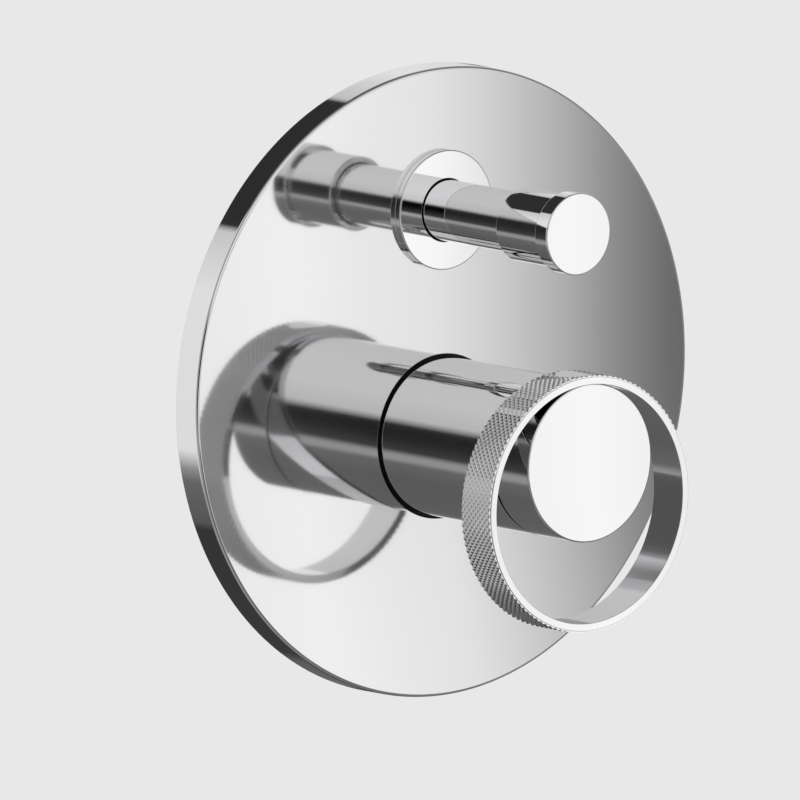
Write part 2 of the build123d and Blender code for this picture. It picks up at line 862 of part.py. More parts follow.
def bonnet_oring():
    """Rubber ring that seals the bonnet in its chamber."""
    radius = diverter_chamber_radius - push_gap - small_ring_section / 2
    return round_ring(radius, small_ring_section, bonnet_ring_y(), diverter_axis_z)


def rod_seal():
    """Rubber ring that seals the sliding rod."""
    radius = rod_radius + running_gap + small_ring_section / 2
    return round_ring(radius, small_ring_section, rod_ring_y(), diverter_axis_z)


def diverter_rod():
    """Steel rod from the spool to the knob."""
    rod = tube(rod_radius, 0, rod_front, back_land_front + land_thickness, diverter_axis_z)
    return chamfer(front_edge(rod), knob_edge)


def land_middles():
    """Y of the middle of each land of the spool."""
    return [y + land_thickness / 2 for y in (front_land_front, back_land_front)]


def diverter_spool():
    """Turned brass spool with two lands, each grooved for a rubber ring."""
    land = diverter_chamber_radius - turn_room
    bore = rod_radius + push_gap / 2
    spool = tube(spool_core_diameter / 2, bore, front_land_front, back_land_front, diverter_axis_z)
    for front in (front_land_front, back_land_front):
        spool += tube(land, bore, front, front + land_thickness, diverter_axis_z)
    for y in land_middles():
        half = spool_ring_section / 2 + groove_room / 2
        floor = diverter_chamber_radius - running_gap - spool_ring_section - running_gap / 2
        spool -= tube(land + overshoot, floor, y - half, y + half, diverter_axis_z)
    return spool


def spool_orings():
    """Two rubber rings on the spool's lands."""
    radius = diverter_chamber_radius - running_gap - spool_ring_section / 2
    return [round_ring(radius, spool_ring_section, y, diverter_axis_z) for y in land_middles()]


def knob_body():
    """Knob with a skirt that slides over the sleeve, a bore for the rod and a spigot for the cap."""
    skirt_inner = diverter_radius + knob_skirt_gap
    spigot = knob_spigot_diameter / 2
    spigot_front = knob_joint - knob_spigot_length
    bore = rod_radius + push_gap
    body = turned(
        [
            (0, spigot_front),
            (spigot, spigot_front),
            (spigot, knob_joint),
            (knob_skirt_diameter / 2, knob_joint),
            (knob_skirt_diameter / 2, knob_back),
            (skirt_inner, knob_back),
            (skirt_inner, knob_floor),
            (bore, knob_floor),
            (bore, rod_front - face_gap),
            (0, rod_front - face_gap),
        ],
        diverter_axis_z,
    )
    body = chamfer(back_edge(body), knob_edge)
    return body - bar(
        (0, knob_grub_y, diverter_axis_z),
        (0, knob_grub_y, diverter_axis_z - knob_skirt_diameter / 2 - overshoot),
        knob_grub_diameter / 2,
    )


def knob_cap():
    """Wider end disc of the knob, which gives the fingers an edge to pull."""
    recess = knob_spigot_diameter / 2 + push_gap
    recess_floor = knob_joint - knob_spigot_length - face_gap
    cap = turned(
        [
            (0, knob_front),
            (knob_cap_diameter / 2, knob_front),
            (knob_cap_diameter / 2, knob_joint),
            (recess, knob_joint),
            (recess, recess_floor),
            (0, recess_floor),
        ],
        diverter_axis_z,
    )
    cap = chamfer(back_edge(cap), knob_edge)
    return fillet(front_edge(cap), knob_edge)


def knob_grub_screw():
    """Small socket set screw that clamps the knob on the rod."""
    tip = diverter_axis_z - rod_radius - push_gap
    tail = tip - knob_grub_length
    radius = knob_grub_diameter / 2 - push_gap
    screw = bar((0, knob_grub_y, tip), (0, knob_grub_y, tail), radius)
    key = Pos(0, knob_grub_y, tail) * extrude(RegularPolygon(radius * hexagon_key_ratio, 6), radius)
    return screw - key


PARTS = [
    backplate,
    wall_gasket,
    sleeve_seal,
    mixer_sleeve,
    sleeve_orings,
    handle_bush,
    handle_hub,
    handle_ring,
    handle_grub_screw,
    valve_body,
    cartridge_neck,
    cartridge_nut,
    cartridge_housing,
    cartridge_base,
    port_seals,
    fixed_disc,
    moving_disc,
    disc_driver,
    cartridge_spindle,
    spindle_oring,
    spindle_extension,
    extension_screw,
    diverter_rosette,
    rosette_seal,
    diverter_sleeve,
    diverter_bonnet,
    bonnet_oring,
    rod_seal,
    diverter_rod,
    diverter_spool,
    spool_orings,
    knob_body,
    knob_cap,
    knob_grub_screw,
]


def main():
    """Writes every piece to its own file, named after its function."""
    os.makedirs("parts", exist_ok=True)
    for make in PARTS:
        made = make()
        solids = made if isinstance(made, list) else [made]
        export_step(Compound(children=solids), f"parts/{make.__name__}.step")


main()
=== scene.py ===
import bmesh
import bpy
import numpy as np
from mathutils import Matrix, Vector


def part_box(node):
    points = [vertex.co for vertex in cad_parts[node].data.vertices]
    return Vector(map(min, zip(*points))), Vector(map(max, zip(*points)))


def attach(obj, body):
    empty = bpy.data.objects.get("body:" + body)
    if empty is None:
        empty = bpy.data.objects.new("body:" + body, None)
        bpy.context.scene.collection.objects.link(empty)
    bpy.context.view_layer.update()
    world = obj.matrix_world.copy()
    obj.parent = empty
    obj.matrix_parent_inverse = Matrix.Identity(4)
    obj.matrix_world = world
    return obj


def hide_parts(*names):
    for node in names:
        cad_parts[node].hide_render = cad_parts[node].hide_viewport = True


# Looks of a concealed bath and shower mixer: a round mirror plate, a fixed sleeve with a turning hub
# and an off-centre knurled ring, and above them a slim sleeve with a pull knob.
# Everything is in metres in the part's frame: the wall is y = 0, the user is at negative y, z is up.

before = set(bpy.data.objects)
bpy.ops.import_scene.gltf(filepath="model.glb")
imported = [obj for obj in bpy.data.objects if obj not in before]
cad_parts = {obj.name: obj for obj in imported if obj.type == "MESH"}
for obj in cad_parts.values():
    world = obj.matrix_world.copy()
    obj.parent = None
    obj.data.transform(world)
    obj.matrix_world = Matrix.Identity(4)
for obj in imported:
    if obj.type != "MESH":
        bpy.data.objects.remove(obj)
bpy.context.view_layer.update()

MM = 0.001


def reach(node):
    """Radius, front and back of a round node whose axis lies along y."""
    low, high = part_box(node)
    return (high.x - low.x) / 2, low.y, high.y


def axis_height(node):
    """Height of the axis of a round node."""
    low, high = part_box(node)
    return (low.z + high.z) / 2


PLATE_R, PLATE_FRONT, PLATE_BACK = reach("backplate")
SLEEVE_R, SLEEVE_FRONT, SLEEVE_BACK = reach("mixer_sleeve")
HUB_R, HUB_FRONT, HUB_BACK = reach("handle_hub")
RING_R, RING_FRONT, RING_BACK = reach("handle_ring")
ROSETTE_R, ROSETTE_FRONT, ROSETTE_BACK = reach("diverter_rosette")
DIVERTER_R, DIVERTER_FRONT, DIVERTER_BACK = reach("diverter_sleeve")
SKIRT_R, SPIGOT_FRONT, SKIRT_BACK = reach("knob_body")
CAP_R, CAP_FRONT, CAP_BACK = reach("knob_cap")
MAIN_Z = axis_height("mixer_sleeve")
RING_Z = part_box("handle_ring")[0].z + RING_R
DIVERTER_Z = axis_height("diverter_sleeve")

# Walls, bores and edges of the trim, which a box doesn't give
PLATE_INNER = PLATE_FRONT + 2.5 * MM
PLATE_RIM = 2.0 * MM
PLATE_EDGE = 1.0 * MM
SLEEVE_HOLE_R = SLEEVE_R + 0.9 * MM
SLEEVE_WALL = 1.8 * MM
SLEEVE_END_WALL = 2.0 * MM
BUSH_R = 9.1 * MM
HUB_WALL = 2.7 * MM
HUB_RECESS = 9.0 * MM
HUB_BOSS_R = 15.5 * MM
HUB_SOCKET_R = 7.05 * MM
HUB_SOCKET = 10.1 * MM
HUB_EDGE = 0.5 * MM
RING_BORE_R = RING_R - 2.9 * MM
RING_EDGE = 0.15 * MM
ROSETTE_HOLE_R = 13.15 * MM
ROSETTE_BORE_R = DIVERTER_R + 0.4 * MM
ROSETTE_EDGE = 0.4 * MM
DIVERTER_WALL = 2.0 * MM
SKIRT_BORE_R = DIVERTER_R + 0.35 * MM
SPIGOT_R = 5.0 * MM
KNOB_FLOOR = DIVERTER_FRONT - 0.6 * MM
ROD_BORE_R = 3.05 * MM
ROD_BORE_END = CAP_BACK + 1.45 * MM
PUSH_GAP = 0.05 * MM
CAP_RECESS_END = SPIGOT_FRONT - PUSH_GAP
KNOB_EDGE = 0.4 * MM
FINE_EDGE = 0.15 * MM

# Diamond knurl of the ring, with a smooth round land at its top
KNURL_COUNT = 118
KNURL_ROWS = 13
KNURL_DEPTH = 0.45 * MM
KNURL_MARGIN = 0.25 * MM
KNURL_STEPS = 3
LIP_R = RING_R - KNURL_DEPTH - 0.1 * MM
LAND_R = 6.4 * MM
LAND_SINK = 0.1 * MM

# Fineness of the meshes. The plate's split line starts SPLIT_STEP steps from its top, and HOLD is how far
# outside an arc the point stands that keeps a flat stretch flat.
TURN_STEPS = 288
SPLIT_STEP = 60
SPLIT_POINTS = 96
ARC_STEPS = 7
DRILL_STEPS = 64
HOLD = 0.03 * MM
SHARP = np.radians(28)
NO_RADIUS = 1e-9
MERGE_DISTANCE = 1e-7
SLIVER = 1e-8


def rounded_outline(corners, radii, closed=True):
    """A section of (radius, y) corners as a line of points, each corner an arc of its own radius.

    The arc starts radius * tan(turn / 2) before the corner and runs round a centre beside the incoming
    line. One more point stands just outside each end of an arc, so that flat stretches keep flat shading.
    An open section keeps its first and last points as they are.
    """
    corner = np.array(corners, float)
    radius = np.maximum(np.array(radii, float), NO_RADIUS)
    incoming = corner - np.roll(corner, 1, axis=0)
    incoming /= np.linalg.norm(incoming, axis=1, keepdims=True)
    outgoing = np.roll(incoming, -1, axis=0)
    cross = incoming[:, 0] * outgoing[:, 1] - incoming[:, 1] * outgoing[:, 0]
    turn = np.arctan2(cross, np.sum(incoming * outgoing, axis=1))
    side = np.where(turn < 0, -1.0, 1.0)
    cut = (radius * np.tan(np.abs(turn) / 2))[:, None]
    start = corner - incoming * cut
    end = corner + outgoing * cut
    spoke = np.stack([incoming[:, 1], -incoming[:, 0]], axis=1) * (side * radius)[:, None]
    angle = turn[:, None] * np.linspace(0, 1, ARC_STEPS)[None, :]
    arc_r = spoke[:, :1] * np.cos(angle) - spoke[:, 1:] * np.sin(angle)
    arc_y = spoke[:, :1] * np.sin(angle) + spoke[:, 1:] * np.cos(angle)
    arc = (start - spoke)[:, None, :] + np.stack([arc_r, arc_y], axis=2)
    before = (start - incoming * HOLD)[:, None, :]
    after = (end + outgoing * HOLD)[:, None, :]
    line = np.concatenate([before, arc, after], axis=1)
    if closed:
        return line.reshape(-1, 2)
    return np.concatenate([corner[:1], line[1:-1].reshape(-1, 2), corner[-1:]])


def turned_grid(radius, y, axis_z, steps=TURN_STEPS):
    """Radii and y carried round a line along y: x = r sin(t), z = axis + r cos(t), with t a full turn."""
    t = np.linspace(0, 2 * np.pi, steps, endpoint=False)
    radius = np.broadcast_to(radius, (len(radius), steps))
    y = np.broadcast_to(y, radius.shape)
    return np.stack([radius * np.sin(t), y, axis_z + radius * np.cos(t)], axis=2)


def grid_faces(rows, columns, rows_close=False, start=0):
    """Four-sided faces between the neighbours of a grid that closes round its columns."""
    last = rows if rows_close else rows - 1
    row, column = np.meshgrid(np.arange(last), np.arange(columns), indexing="ij")
    beside = (column + 1) % columns
    row, below = row * columns, (row + 1) % rows * columns
    around = [row + column, below + column, below + beside, row + beside]
    return start + np.stack([corner.ravel() for corner in around], axis=1)


def add_piece(name, points, faces, material, body, node):
    """Puts points and faces into one closed mesh with its faces outwards, in place of a node."""
    mesh = bpy.data.meshes.new(name)
    mesh.from_pydata(points.reshape(-1, 3), [], faces)
    work = bmesh.new()
    work.from_mesh(mesh)
    bmesh.ops.remove_doubles(work, verts=work.verts, dist=MERGE_DISTANCE)
    bmesh.ops.dissolve_degenerate(work, edges=work.edges, dist=SLIVER)
    bmesh.ops.recalc_face_normals(work, faces=work.faces)
    work.to_mesh(mesh)
    work.free()
    mesh.shade_smooth()
    mesh.set_sharp_from_angle(angle=SHARP)
    mesh.materials.append(material)
    piece = bpy.data.objects.new(name, mesh)
    bpy.context.scene.collection.objects.link(piece)
    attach(piece, body)
    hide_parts(node)
    return piece


def linear(hex_colour):
    """An sRGB hex colour as linear red, green, blue and alpha."""
    value = np.array([int(hex_colour[i : i + 2], 16) for i in (0, 2, 4)]) / 255
    value = np.where(value <= 0.04045, value / 12.92, ((value + 0.055) / 1.055) ** 2.4)
    return (*value.tolist(), 1.0)


def add(tree, kind, inputs=None, **settings):
    """Adds a node with its settings. Of its inputs, a socket is linked and a value is set."""
    made = tree.nodes.new(kind)
    for name, value in settings.items():
        setattr(made, name, value)
    for name, value in (inputs or {}).items():
        if isinstance(value, bpy.types.NodeSocket):
            tree.links.new(value, made.inputs[name])
        else:
            made.inputs[name].default_value = value
    return made


def empty_tree(holder):
    """The node tree of a material or a world, emptied."""
    holder.use_nodes = True
    holder.node_tree.nodes.clear()
    return holder.node_tree


def new_material(name):
    """A material with only its shader, and the piece's own coordinates."""
    material = bpy.data.materials.new(name)
    tree = empty_tree(material)
    shader = add(tree, "ShaderNodeBsdfPrincipled")
    add(tree, "ShaderNodeOutputMaterial", {"Surface": shader.outputs["BSDF"]})
    here = add(tree, "ShaderNodeTexCoord").outputs["Object"]
    return material, tree, shader, here


# Real sizes of the patterns, and how deep they are
MOP_PATCH = 18 * MM
TOOL_FEED, TOOL_DEPTH = 0.35 * MM, 0.03 * MM
TURNED_PATCH = 9 * MM
SAND_GRAIN, SAND_DEPTH = 0.9 * MM, 0.12 * MM
OXIDE_PATCH = 14 * MM
FOAM_CELL, FOAM_DEPTH = 0.7 * MM, 0.25 * MM

# The plate's veil
VEIL_ROUGHNESS = 0.6
VEIL_IOR = 1.65


def bright_chrome(name, colour, polish, veil):
    """Chromium over bright nickel on buffed brass: a cold mirror, a little uneven where the mop passed.

    The veil is the wide faint scatter of a large pressed face, which lifts the darks of its mirror image.
    """
    material, tree, shader, here = new_material(name)
    shader.inputs["Base Color"].default_value = linear(colour)
    shader.inputs["Metallic"].default_value = 1.0
    shader.inputs["Coat Weight"].default_value = veil
    shader.inputs["Coat Roughness"].default_value = VEIL_ROUGHNESS
    shader.inputs["Coat IOR"].default_value = VEIL_IOR
    patches = {"Vector": here, "Scale": 1 / MOP_PATCH, "Detail": 3.0}
    patches = add(tree, "ShaderNodeTexNoise", patches).outputs["Fac"]
    haze = {"Value": patches, "From Min": 0.3, "From Max": 0.7, "To Min": polish, "To Max": polish * 1.2}
    haze = add(tree, "ShaderNodeMapRange", haze).outputs["Result"]
    tree.links.new(haze, shader.inputs["Roughness"])
    return material


def dress(tree, shader, tone, gloss, dents):
    """Gives a shader a tone between two colours, a gloss and a relief, each worked out from its inputs."""
    tone = add(tree, "ShaderNodeMix", tone, data_type="RGBA")
    gloss = add(tree, "ShaderNodeMapRange", gloss)
    dents = add(tree, "ShaderNodeBump", dents)
    tree.links.new(tone.outputs["Result"], shader.inputs["Base Color"])
    tree.links.new(gloss.outputs["Result"], shader.inputs["Roughness"])
    tree.links.new(dents.outputs["Normal"], shader.inputs["Normal"])


def turning_marks(tree, here, axis_z):
    """Lines a tool leaves in turning: noise over y plus distance from the axis, one line for each feed."""
    across = {0: here, 1: (0, 0, axis_z)}
    across = add(tree, "ShaderNodeVectorMath", across, operation="SUBTRACT").outputs[0]
    across = {0: across, 1: (1, 0, 1)}
    across = add(tree, "ShaderNodeVectorMath", across, operation="MULTIPLY").outputs[0]
    distance = add(tree, "ShaderNodeVectorMath", {0: across}, operation="LENGTH").outputs["Value"]
    along = add(tree, "ShaderNodeSeparateXYZ", {"Vector": here}).outputs["Y"]
    place = add(tree, "ShaderNodeMath", {0: distance, 1: along}, operation="ADD").outputs[0]
    lines = {"W": place, "Scale": 1 / TOOL_FEED, "Detail": 1.0, "Roughness": 0.4}
    return add(tree, "ShaderNodeTexNoise", lines, noise_dimensions="1D").outputs["Fac"]


def turned_metal(name, tones, axis_z, roughness):
    """Bare metal from the lathe: bright, with the tool's rings, drawn 0.35 mm apart so that they show."""
    material, tree, shader, here = new_material(name)
    marks = turning_marks(tree, here, axis_z)
    patches = {"Vector": here, "Scale": 1 / TURNED_PATCH, "Detail": 3.0}
    patches = add(tree, "ShaderNodeTexNoise", patches).outputs["Fac"]
    tone = {"Factor": patches, "A": linear(tones[0]), "B": linear(tones[1])}
    gloss = {"Value": marks, "From Min": 0.25, "From Max": 0.75}
    gloss |= {"To Min": roughness, "To Max": roughness * 1.6}
    dents = {"Height": marks, "Distance": TOOL_DEPTH, "Strength": 0.6}
    dress(tree, shader, tone, gloss, dents)
    shader.inputs["Metallic"].default_value = 1.0
    return material


def cast_brass():
    """Brass cast in sand and shot-blasted: dull yellow, grainy all over, browner where oxide has stayed."""
    material, tree, shader, here = new_material("sand_cast_brass")
    grain = {"Vector": here, "Scale": 1 / SAND_GRAIN, "Detail": 4.0}
    grain = add(tree, "ShaderNodeTexNoise", grain).outputs["Fac"]
    oxide = {"Vector": here, "Scale": 1 / OXIDE_PATCH, "Detail": 5.0}
    oxide = add(tree, "ShaderNodeTexNoise", oxide).outputs["Fac"]
    oxide = add(tree, "ShaderNodeMapRange", {"Value": oxide, "From Min": 0.35, "From Max": 0.7})
    tone = {"Factor": oxide.outputs["Result"], "A": linear("DFC184"), "B": linear("BC9A5C")}
    gloss = {"Value": grain, "From Min": 0.3, "From Max": 0.7, "To Min": 0.38, "To Max": 0.6}
    dents = {"Height": grain, "Distance": SAND_DEPTH, "Strength": 0.8}
    dress(tree, shader, tone, gloss, dents)
    shader.inputs["Metallic"].default_value = 1.0
    return material


def moulded(name, tones, patch, grain, depth, roughness):
    """Moulded stuff in its own colour: faint clouds where it flowed, and the mould's fine grain."""
    material, tree, shader, here = new_material(name)
    clouds = {"Vector": here, "Scale": 1 / patch, "Detail": 3.0}
    clouds = add(tree, "ShaderNodeTexNoise", clouds).outputs["Fac"]
    texture = {"Vector": here, "Scale": 1 / grain, "Detail": 2.0}
    texture = add(tree, "ShaderNodeTexNoise", texture).outputs["Fac"]
    tone = {"Factor": clouds, "A": linear(tones[0]), "B": linear(tones[1])}
    gloss = {"Value": texture, "From Min": 0.3, "From Max": 0.7}
    gloss |= {"To Min": roughness, "To Max": roughness * 1.25}
    dents = {"Height": texture, "Distance": depth, "Strength": 0.7}
    dress(tree, shader, tone, gloss, dents)
    return material


def closed_cell_foam():
    """Expanded rubber sheet, cut: dark grey, matt, its cut cells about 0.7 mm across as small hollows, each
    painted darker towards its bottom as painted shade.
    """
    material, tree, shader, here = new_material("closed_cell_foam")
    cells = add(tree, "ShaderNodeTexVoronoi", {"Vector": here, "Scale": 1 / FOAM_CELL}).outputs["Distance"]
    # The tone follows the cells' depth: the bottom of each hollow is painted darker, painted shade.
    tone = {"Factor": cells, "A": linear("1E1E1F"), "B": linear("39393B")}
    tone = add(tree, "ShaderNodeMix", tone, data_type="RGBA").outputs["Result"]
    dents = {"Height": cells, "Distance": FOAM_DEPTH, "Strength": 0.8}
    tree.links.new(tone, shader.inputs["Base Color"])
    tree.links.new(add(tree, "ShaderNodeBump", dents).outputs["Normal"], shader.inputs["Normal"])
    shader.inputs["Roughness"].default_value = 0.92
    return material


def finish_nodes(material, *nodes):
    """CAD nodes whose shape is shown as it is get this material in all their slots."""
    for node in nodes:
        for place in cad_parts[node].material_slots:
            place.material = material


# Chrome on the pressed plate mirrors a little less sharply than on the turned pieces, and its colour is a
# shade darker, painted shade. The thin rosette's chrome is the same chrome painted lighter, a painted
# highlight
plate_chrome_face_painted_darker = bright_chrome("chrome_on_pressed_plate_face_painted_darker", "DFDFE0", polish=0.05, veil=1.0)
trim_chrome = bright_chrome("chrome_on_turned_brass", "E3E3E4", polish=0.04, veil=0.0)
rosette_chrome_painted_lighter = bright_chrome("chrome_on_rosette_painted_lighter", "EFEFF0", polish=0.04, veil=0.0)

# Brass: a warm yellow, bright where a tool has cut it
BRASS = ("EBCB86", "D9B772")
finish_nodes(cast_brass(), "valve_body")
main_brass = turned_metal("turned_brass_of_mixer", BRASS, MAIN_Z, roughness=0.2)
finish_nodes(main_brass, "cartridge_neck", "cartridge_nut", "cartridge_spindle", "spindle_extension")
upper_brass = turned_metal("turned_brass_of_diverter", BRASS, DIVERTER_Z, roughness=0.2)
finish_nodes(upper_brass, "diverter_bonnet", "diverter_spool")

# Stainless steel, turned: greyer than chrome and not a mirror
STAINLESS = ("C4C3C0", "B2B1AE")
main_steel = turned_metal("turned_stainless_of_mixer", STAINLESS, MAIN_Z, roughness=0.22)
finish_nodes(main_steel, "handle_grub_screw", "extension_screw")
upper_steel = turned_metal("turned_stainless_of_diverter", STAINLESS, DIVERTER_Z, roughness=0.22)
finish_nodes(upper_steel, "diverter_rod", "knob_grub_screw")

# Black sealing rubber, moulded: soft sheen, slightly grey where it bloomed
RUBBER = ("161617", "232324")
epdm = moulded("moulded_epdm_rubber", RUBBER, patch=6 * MM, grain=0.25 * MM, depth=0.02 * MM, roughness=0.5)
finish_nodes(epdm, "sleeve_seal", "sleeve_orings", "port_seals", "spindle_oring", "rosette_seal")
finish_nodes(epdm, "bonnet_oring", "rod_seal", "spool_orings")
finish_nodes(closed_cell_foam(), "wall_gasket")

# Acetal, moulded: milky white with a low waxy sheen
ACETAL = ("F0EEE7", "E4E1D8")
acetal = moulded("moulded_acetal", ACETAL, patch=12 * MM, grain=0.3 * MM, depth=0.01 * MM, roughness=0.34)
finish_nodes(acetal, "handle_bush", "cartridge_housing", "cartridge_base", "disc_driver")

# Alumina, pressed, fired and lapped: warm white, very smooth
ALUMINA = ("EFEDE6", "E2DFD6")
alumina = moulded("lapped_alumina", ALUMINA, patch=4 * MM, grain=0.15 * MM, depth=0.004 * MM, roughness=0.2)
finish_nodes(alumina, "fixed_disc", "moving_disc")


def turned_piece(name, node, body, axis_z, corners, radii, closed=True, chrome=trim_chrome):
    """A lathe-turned chrome piece from the corners of its section and the radius of each corner."""
    outline = rounded_outline(corners, radii, closed)
    points = turned_grid(outline[:, :1], outline[:, 1:], axis_z)
    faces = grid_faces(len(outline), TURN_STEPS, rows_close=closed)
    return add_piece(name, points, faces.tolist(), chrome, body, node)


def edge_loop(radius, upper):
    """The plate's outline above or below the split line: a stretch of circle, then a straight line back."""
    first, last = (-SPLIT_STEP, SPLIT_STEP) if upper else (SPLIT_STEP, TURN_STEPS - SPLIT_STEP)
    t = np.arange(first, last + 1) * 2 * np.pi / TURN_STEPS
    arc = radius * np.stack([np.sin(t), np.cos(t)], axis=1)
    return np.concatenate([arc, np.linspace(arc[-1], arc[0], SPLIT_POINTS)[1:-1]])


def pierced_half(hole_r, hole_z, upper, front_r, back_r):
    """Half of the plate's skin: the hole's section carried round, and straight lines to the outline."""
    section = rounded_outline(
        [(PLATE_R, PLATE_FRONT), (hole_r, PLATE_FRONT), (hole_r, PLATE_INNER), (PLATE_R, PLATE_INNER)],
        [0, FINE_EDGE, FINE_EDGE, 0],
    ).reshape(4, -1, 2)[1:3].reshape(-1, 2)
    front, back = edge_loop(front_r, upper), edge_loop(back_r, upper)
    centre = np.array([0.0, hole_z])
    outwards = front - centre
    outwards /= np.linalg.norm(outwards, axis=1, keepdims=True)
    hole = centre + section[:, :1, None] * outwards[None, :, :]
    flat = np.concatenate([front[None], hole, back[None]])
    y = np.concatenate([[PLATE_FRONT], section[:, 1], [PLATE_INNER]])
    y = np.broadcast_to(y[:, None], flat.shape[:2])
    return np.stack([flat[:, :, 0], y, flat[:, :, 1]], axis=2)


def plate():
    """The dished plate: a turned rim, and two halves of skin, each round its own hole.

    Outside the face the rim is buffed on its own and has the chrome of the turned pieces; the face has a
    copy of it painted a shade darker.
    """
    section = rounded_outline(
        [
            (PLATE_R / 2, PLATE_FRONT),
            (PLATE_R, PLATE_FRONT),
            (PLATE_R, PLATE_BACK),
            (PLATE_R - PLATE_RIM, PLATE_BACK),
            (PLATE_R - PLATE_RIM, PLATE_INNER),
            (PLATE_R / 2, PLATE_INNER),
        ],
        [0, PLATE_EDGE, FINE_EDGE, FINE_EDGE, FINE_EDGE, 0],
    ).reshape(6, -1, 2)[1:5].reshape(-1, 2)
    grids = [
        turned_grid(section[:, :1], section[:, 1:], 0.0),
        pierced_half(SLEEVE_HOLE_R, MAIN_Z, False, section[0, 0], section[-1, 0]),
        pierced_half(ROSETTE_HOLE_R, DIVERTER_Z, True, section[0, 0], section[-1, 0]),
    ]
    starts = np.cumsum([0] + [grid.shape[0] * grid.shape[1] for grid in grids])
    points = np.concatenate([grid.reshape(-1, 3) for grid in grids])
    faces = np.concatenate([grid_faces(*grid.shape[:2], start=first) for grid, first in zip(grids, starts)])
    piece = add_piece("plate_chrome_face_painted_darker", points, faces.tolist(), plate_chrome_face_painted_darker, "wall_part", "backplate")
    piece.data.materials.append(trim_chrome)
    middle = np.empty(3 * len(piece.data.polygons))
    piece.data.polygons.foreach_get("center", middle)
    on_rim = np.hypot(middle[0::3], middle[2::3]) > PLATE_R - PLATE_EDGE
    piece.data.polygons.foreach_set("material_index", on_rim.astype(int))
    return piece


def sleeve():
    """Fixed tube between plate and hub, its far end closed down to the bush."""
    inner, end = SLEEVE_R - SLEEVE_WALL, SLEEVE_FRONT + SLEEVE_END_WALL
    corners = [
        (BUSH_R, SLEEVE_FRONT),
        (SLEEVE_R, SLEEVE_FRONT),
        (SLEEVE_R, SLEEVE_BACK),
        (inner, SLEEVE_BACK),
        (inner, end),
        (BUSH_R, end),
    ]
    return turned_piece("sleeve_chrome", "mixer_sleeve", "wall_part", MAIN_Z, corners, [FINE_EDGE] * 6)


def hub():
    """Turning end piece. In front of the ring's back, points outside its bore are drawn in to the bore."""
    inner, floor = HUB_R - HUB_WALL, HUB_BACK - HUB_RECESS
    corners = [
        (0, HUB_FRONT),
        (HUB_R, HUB_FRONT),
        (HUB_R, RING_BACK),
        (HUB_R, HUB_BACK),
        (inner, HUB_BACK),
        (inner, floor),
        (HUB_BOSS_R, floor),
        (HUB_BOSS_R, HUB_BACK),
        (HUB_SOCKET_R, HUB_BACK),
        (HUB_SOCKET_R, HUB_BACK - HUB_SOCKET),
        (0, HUB_BACK - HUB_SOCKET),
    ]
    outline = rounded_outline(corners, [0, HUB_EDGE, 0] + [FINE_EDGE] * 7 + [0], closed=False)
    points = turned_grid(outline[:, :1], outline[:, 1:], MAIN_Z)
    from_ring = points - (0, 0, RING_Z)
    away = np.hypot(from_ring[:, :, 0], from_ring[:, :, 2])
    held = (points[:, :, 1] < RING_BACK) & (away > RING_BORE_R)
    shrink = np.where(held, RING_BORE_R / np.maximum(away, RING_BORE_R / 2), 1.0)
    points[:, :, 0] *= shrink
    points[:, :, 2] = RING_Z + from_ring[:, :, 2] * shrink
    faces = grid_faces(len(outline), TURN_STEPS)
    return add_piece("hub_chrome", points, faces.tolist(), trim_chrome, "handle", "handle_hub")


def even_distance(value):
    """Distance to the nearest even whole number, nought in a groove and one half way to the next."""
    return np.abs(np.mod(value + 1, 2) - 1)


def ring():
    """The ring grip. Its outside is a diamond knurl of two crossing sets of V grooves.

    Along the ring i counts half diamonds round it and j counts them across it. The grooves run where
    i + j or i - j is even, and the surface rises evenly from the nearer groove to each diamond's point.
    Inside the round land at the top the surface is smooth and a little lower than the points.
    """
    columns = 2 * KNURL_COUNT * KNURL_STEPS
    lips = rounded_outline(
        [
            (LIP_R, RING_FRONT + KNURL_MARGIN),
            (LIP_R, RING_FRONT),
            (RING_BORE_R, RING_FRONT),
            (RING_BORE_R, RING_BACK),
            (LIP_R, RING_BACK),
            (LIP_R, RING_BACK - KNURL_MARGIN),
        ],
        [0] + [RING_EDGE] * 4 + [0],
        closed=False,
    )
    j = np.arange(KNURL_ROWS * KNURL_STEPS + 1)[:, None] / KNURL_STEPS
    i = np.arange(columns)[None, :] / KNURL_STEPS
    y = RING_BACK - KNURL_MARGIN + j / KNURL_ROWS * (RING_FRONT - RING_BACK + 2 * KNURL_MARGIN)
    height = np.minimum(even_distance(i + j), even_distance(i - j))
    around = (i / KNURL_COUNT + 1) % 2 - 1
    from_land = np.hypot(around * np.pi * RING_R, y - (RING_FRONT + RING_BACK) / 2)
    knurl = RING_R - KNURL_DEPTH * (1 - height)
    radius = np.where(from_land < LAND_R, RING_R - LAND_SINK, knurl)
    points = np.concatenate(
        [turned_grid(lips[:, :1], lips[:, 1:], RING_Z, columns), turned_grid(radius, y, RING_Z, columns)]
    )
    faces = grid_faces(len(lips) + 1, columns)
    closing = grid_faces(len(points), columns, rows_close=True)[-columns:]
    cell_i, cell_j = (i + 0.5 / KNURL_STEPS), (j[:-1] + 0.5 / KNURL_STEPS)
    rising = even_distance(cell_i + cell_j) > even_distance(cell_i - cell_j)
    cells = grid_faces(len(j), columns, start=len(lips) * columns)
    one = np.where(rising.reshape(-1, 1), cells[:, [0, 1, 2]], cells[:, [0, 1, 3]])
    other = np.where(rising.reshape(-1, 1), cells[:, [0, 2, 3]], cells[:, [1, 2, 3]])
    faces = faces.tolist() + closing.tolist() + one.tolist() + other.tolist()
    return add_piece("ring_knurled_chrome", points, faces, trim_chrome, "handle", "handle_ring")


